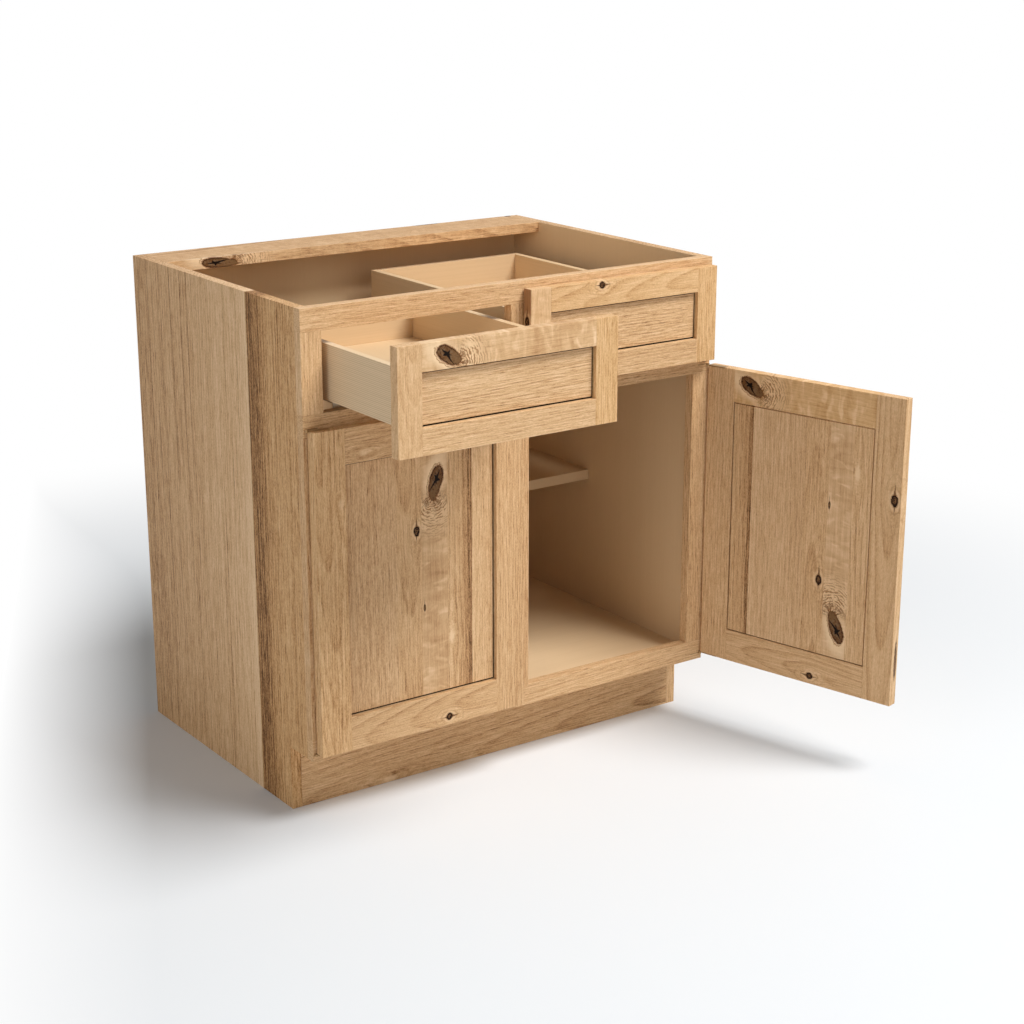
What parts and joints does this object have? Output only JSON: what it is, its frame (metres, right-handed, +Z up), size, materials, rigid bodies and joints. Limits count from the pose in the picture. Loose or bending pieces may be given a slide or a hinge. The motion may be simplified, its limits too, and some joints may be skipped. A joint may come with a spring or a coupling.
{
  "type": "kitchen base cabinet",
  "caption": "Face-frame kitchen base cabinet in knotty hickory, with shaker drawers over shaker doors, a half-depth shelf, an open top for a worktop and a recessed toe kick.",
  "frame": {"origin": "on the floor at the middle of the cabinet's back, where the rear face of the back panel meets the floor", "axes": "+X to the right as seen from the front, +Y to the wall behind, +Z up"},
  "size_m": [0.9505, 1.0015, 0.8763],
  "materials": {
    "hickory_frame": "satin clear coat",
    "hickory_panel": "satin clear coat",
    "hickory_veneer": "satin clear coat",
    "interior_maple": "satin clear coat",
    "drawer_birch": "satin clear coat",
    "slide_steel": "yellow zinc plated",
    "hinge_steel": "antique brass",
    "pin_steel": "satin nickel"
  },
  "bodies": {
    "carcass": {"left_side_panel": "hickory_veneer", "right_side_panel": "hickory_veneer", "back_panel": "interior_maple", "bottom_panel": "interior_maple", "back_stretcher": "hickory_frame", "toe_kick": "hickory_veneer", "half_shelf": "interior_maple", "shelf_pins": "pin_steel", "top_rail": "hickory_frame", "mid_rail": "hickory_frame", "bottom_rail": "hickory_frame", "left_upper_stile": "hickory_frame", "centre_upper_stile": "hickory_frame", "right_upper_stile": "hickory_frame", "left_lower_stile": "hickory_frame", "centre_lower_stile": "hickory_frame", "right_lower_stile": "hickory_frame", "left_drawer_cabinet_runners": "slide_steel", "right_drawer_cabinet_runners": "slide_steel", "left_hinge_frame_leaves": "hinge_steel", "right_hinge_frame_leaves": "hinge_steel"},
    "left_door": {"left_door_free_stile": "hickory_frame", "left_door_hinge_stile": "hickory_frame", "left_door_top_rail": "hickory_frame", "left_door_bottom_rail": "hickory_frame", "left_door_panel": "hickory_panel", "left_hinge_door_leaves": "hinge_steel"},
    "left_drawer": {"left_drawer_front_left_stile": "hickory_frame", "left_drawer_front_right_stile": "hickory_frame", "left_drawer_front_top_rail": "hickory_frame", "left_drawer_front_bottom_rail": "hickory_frame", "left_drawer_front_panel": "hickory_panel", "left_drawer_left_side": "drawer_birch", "left_drawer_right_side": "drawer_birch", "left_drawer_box_front": "drawer_birch", "left_drawer_box_back": "drawer_birch", "left_drawer_bottom": "drawer_birch", "left_drawer_drawer_runners": "slide_steel"},
    "left_middle_runner": {"left_drawer_middle_runners": "slide_steel"},
    "right_door": {"right_door_free_stile": "hickory_frame", "right_door_hinge_stile": "hickory_frame", "right_door_top_rail": "hickory_frame", "right_door_bottom_rail": "hickory_frame", "right_door_panel": "hickory_panel", "right_hinge_door_leaves": "hinge_steel"},
    "right_drawer": {"right_drawer_front_left_stile": "hickory_frame", "right_drawer_front_right_stile": "hickory_frame", "right_drawer_front_top_rail": "hickory_frame", "right_drawer_front_bottom_rail": "hickory_frame", "right_drawer_front_panel": "hickory_panel", "right_drawer_left_side": "drawer_birch", "right_drawer_right_side": "drawer_birch", "right_drawer_box_front": "drawer_birch", "right_drawer_box_back": "drawer_birch", "right_drawer_bottom": "drawer_birch", "right_drawer_drawer_runners": "slide_steel"},
    "right_middle_runner": {"right_drawer_middle_runners": "slide_steel"}
  },
  "joints": [
    {"name": "left_door_hinge", "type": "hinge", "parent": "carcass", "child": "left_door", "pos_m": [-0.41415, -0.60585, 0.404], "axis": [0, 0, -1], "range_deg": [0, 110]},
    {"name": "right_door_hinge", "type": "hinge", "parent": "carcass", "child": "right_door", "pos_m": [0.41415, -0.60585, 0.404], "axis": [0, 0, 1], "range_deg": [-104.1, 5.9]},
    {"name": "left_drawer_slide", "type": "slide", "parent": "carcass", "child": "left_drawer", "axis": [0, -1, 0], "range_m": [-0.253, 0.255]},
    {"name": "left_middle_slide", "type": "slide", "parent": "carcass", "child": "left_middle_runner", "axis": [0, -1, 0], "range_m": [-0.1265, 0.1275]},
    {"name": "right_drawer_slide", "type": "slide", "parent": "carcass", "child": "right_drawer", "axis": [0, -1, 0], "range_m": [0, 0.508]},
    {"name": "right_middle_slide", "type": "slide", "parent": "carcass", "child": "right_middle_runner", "axis": [0, -1, 0], "range_m": [0, 0.254]}
  ],
  "couplings": [
    {"joint": "left_middle_slide", "follows": "left_drawer_slide", "ratio": 0.5},
    {"joint": "right_middle_slide", "follows": "right_drawer_slide", "ratio": 0.5}
  ]
}
